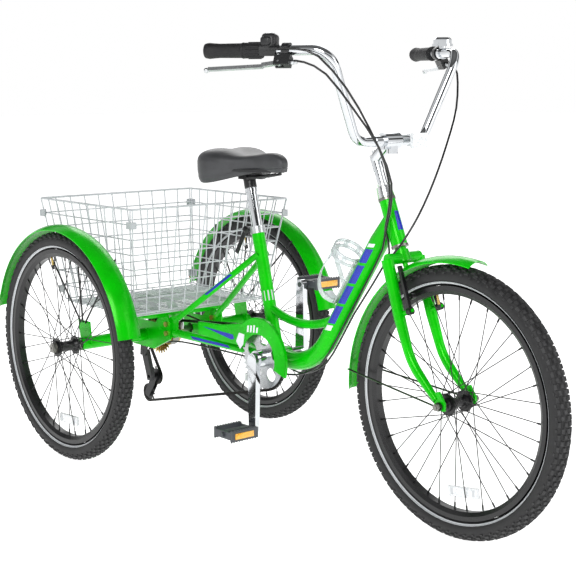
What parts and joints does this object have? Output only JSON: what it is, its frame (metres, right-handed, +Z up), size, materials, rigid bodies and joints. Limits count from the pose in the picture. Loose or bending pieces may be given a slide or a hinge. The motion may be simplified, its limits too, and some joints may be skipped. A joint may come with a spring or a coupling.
{
  "type": "adult tricycle",
  "caption": "Step-through adult tricycle with a wire rear basket, swept-back handlebar, wide saddle, chain drive, front rim brake and rear band brake.",
  "frame": {"origin": "on the ground, under the middle of the whole tricycle's length and width", "axes": "+X forward along the direction of travel, +Y to the rider's left across the rear axle, +Z up"},
  "size_m": [1.7244, 0.748, 1.1027],
  "materials": {
    "green_paint": "gloss",
    "chrome": "polished",
    "silver": "satin",
    "black_steel": "satin",
    "black_plastic": "matte",
    "tyre_rubber": "matte",
    "grip_rubber": "matte",
    "white_wire": "satin",
    "zinc_plate": "satin",
    "steel": "satin",
    "clear_plastic": "gloss",
    "red_reflector": "gloss",
    "saddle_vinyl": "satin",
    "cable_sleeve": "satin"
  },
  "bodies": {
    "frame": {"main_frame": "green_paint", "rear_carrier": "green_paint", "basket_floor": "white_wire", "basket_side_panels": "white_wire", "basket_end_panels": "white_wire", "rear_fenders": "green_paint", "rear_fender_stays": "black_steel", "rear_reflectors": "red_reflector", "chain_guard": "green_paint", "brake_band": "steel", "frame_bearings": "steel", "bottle_cage": "clear_plastic", "seat_clamp": "silver", "frame_fasteners": "zinc_plate", "frame_cables": "cable_sleeve", "chain": "steel", "derailleur_body": "black_plastic"},
    "clamp_lever": {"seat_clamp_lever": "black_steel"},
    "seat": {"seat_post": "chrome", "saddle_cover": "saddle_vinyl", "saddle_base": "black_plastic", "saddle_rails": "black_steel"},
    "left_drive": {"rear_axle": "steel", "brake_drum": "zinc_plate", "rear_left_tyre": "tyre_rubber", "rear_left_rim": "black_steel", "rear_left_hub": "black_steel", "rear_left_spokes": "black_steel"},
    "freewheel_cluster": {"freewheel": "zinc_plate"},
    "right_wheel": {"rear_right_tyre": "tyre_rubber", "rear_right_rim": "black_steel", "rear_right_hub": "black_steel", "rear_right_spokes": "black_steel"},
    "steering": {"fork": "green_paint", "front_fender": "green_paint", "stem": "chrome", "handlebar": "chrome", "grips": "grip_rubber", "lever_brackets": "black_plastic", "front_brake_cable": "cable_sleeve", "front_reflector": "clear_plastic", "bell": "chrome", "front_axle": "steel"},
    "twist_grip": {"shifter_twist": "grip_rubber"},
    "lever_right": {"brake_lever_right": "silver"},
    "lever_left": {"brake_lever_left": "silver"},
    "arm_right": {"v_brake_arm_right": "black_steel"},
    "arm_left": {"v_brake_arm_left": "black_steel"},
    "front_wheel": {"front_tyre": "tyre_rubber", "front_rim": "black_steel", "front_hub": "black_steel", "front_spokes": "black_steel"},
    "crankset": {"cranks": "silver", "chainring": "silver"},
    "right_pedal": {"pedal_right": "black_plastic"},
    "left_pedal": {"pedal_left": "black_plastic"},
    "chain_cage": {"derailleur_cage": "black_plastic"},
    "guide_pulley": {"jockey_upper": "black_plastic"},
    "tension_pulley": {"jockey_lower": "black_plastic"},
    "band_arm": {"rear_brake_arm": "silver"}
  },
  "joints": [
    {"name": "steering_turn", "type": "hinge", "parent": "frame", "child": "steering", "pos_m": [0.52214, 0, 0.29034], "axis": [-0.3859, 0, 0.9225], "range_deg": [-60, 60], "deforming": ["frame_cables"]},
    {"name": "front_wheel_spin", "type": "hinge", "parent": "steering", "child": "front_wheel", "pos_m": [0.5572, 0, 0.305], "axis": [0, 1, 0], "continuous": true},
    {"name": "left_drive_spin", "type": "hinge", "parent": "frame", "child": "left_drive", "pos_m": [-0.5308, 0, 0.305], "axis": [0, 1, 0], "continuous": true},
    {"name": "right_wheel_spin", "type": "hinge", "parent": "frame", "child": "right_wheel", "pos_m": [-0.5308, 0, 0.305], "axis": [0, 1, 0], "continuous": true},
    {"name": "crank_spin", "type": "hinge", "parent": "frame", "child": "crankset", "pos_m": [-0.0488, 0, 0.312], "axis": [0, 1, 0], "continuous": true, "deforming": ["chain"]},
    {"name": "freewheel_spin", "type": "hinge", "parent": "frame", "child": "freewheel_cluster", "pos_m": [-0.5308, 0, 0.305], "axis": [0, 1, 0], "continuous": true},
    {"name": "right_pedal_spin", "type": "hinge", "parent": "crankset", "child": "right_pedal", "pos_m": [-0.0488, 0, 0.137], "axis": [0, 1, 0], "continuous": true},
    {"name": "left_pedal_spin", "type": "hinge", "parent": "crankset", "child": "left_pedal", "pos_m": [-0.0488, 0, 0.487], "axis": [0, 1, 0], "continuous": true},
    {"name": "cage_swing", "type": "hinge", "parent": "frame", "child": "chain_cage", "pos_m": [-0.5238, -0.046, 0.185], "axis": [0, 1, 0], "range_deg": [-12, 24], "stiffness_Nm_per_rad": 0.6, "deforming": ["chain"]},
    {"name": "guide_pulley_spin", "type": "hinge", "parent": "chain_cage", "child": "guide_pulley", "pos_m": [-0.5238, -0.046, 0.185], "axis": [0, 1, 0], "continuous": true},
    {"name": "tension_pulley_spin", "type": "hinge", "parent": "chain_cage", "child": "tension_pulley", "pos_m": [-0.5608, -0.046, 0.129], "axis": [0, 1, 0], "continuous": true},
    {"name": "seat_height", "type": "slide", "parent": "frame", "child": "seat", "axis": [-0.247, 0, 0.969], "range_m": [-0.07, 0.06]},
    {"name": "clamp_lever_swing", "type": "hinge", "parent": "frame", "child": "clamp_lever", "pos_m": [-0.15408, -0.0173, 0.62549], "axis": [-0.866, 0, 0.5], "range_deg": [0, 120]},
    {"name": "right_lever_squeeze", "type": "hinge", "parent": "steering", "child": "lever_right", "pos_m": [0.26806, -0.26197, 1.03921], "axis": [-0.3888, 0.7927, -0.4695], "range_deg": [0, 8], "stiffness_Nm_per_rad": 1.5},
    {"name": "left_lever_squeeze", "type": "hinge", "parent": "steering", "child": "lever_left", "pos_m": [0.24292, 0.2743, 1.03921], "axis": [0.3888, 0.7927, 0.4695], "range_deg": [0, 8], "stiffness_Nm_per_rad": 1.5},
    {"name": "right_arm_close", "type": "hinge", "parent": "steering", "child": "arm_right", "pos_m": [0.4535, -0.047, 0.49847], "axis": [0.9225, 0, 0.3859], "range_deg": [0, 2.7]},
    {"name": "left_arm_close", "type": "hinge", "parent": "steering", "child": "arm_left", "pos_m": [0.4535, 0.047, 0.49847], "axis": [-0.9225, 0, -0.3859], "range_deg": [0, 2.7]},
    {"name": "band_arm_pull", "type": "hinge", "parent": "frame", "child": "band_arm", "pos_m": [-0.4788, 0, 0.327], "axis": [0, 1, 0], "range_deg": [0, 14.1], "deforming": ["frame_cables"]},
    {"name": "shifter_turn", "type": "hinge", "parent": "steering", "child": "twist_grip", "pos_m": [0.2026, -0.27839, 1.0657], "axis": [-0.8978, -0.4404, 0], "range_deg": [-60, 60]}
  ],
  "couplings": [
    {"joint": "freewheel_spin", "follows": "crank_spin", "ratio": 2},
    {"joint": "guide_pulley_spin", "follows": "crank_spin", "ratio": -3.6364},
    {"joint": "tension_pulley_spin", "follows": "crank_spin", "ratio": 3.6364},
    {"joint": "right_arm_close", "follows": "left_lever_squeeze", "ratio": 0.325},
    {"joint": "left_arm_close", "follows": "left_lever_squeeze", "ratio": 0.325},
    {"joint": "band_arm_pull", "follows": "right_lever_squeeze", "ratio": 1.75}
  ]
}
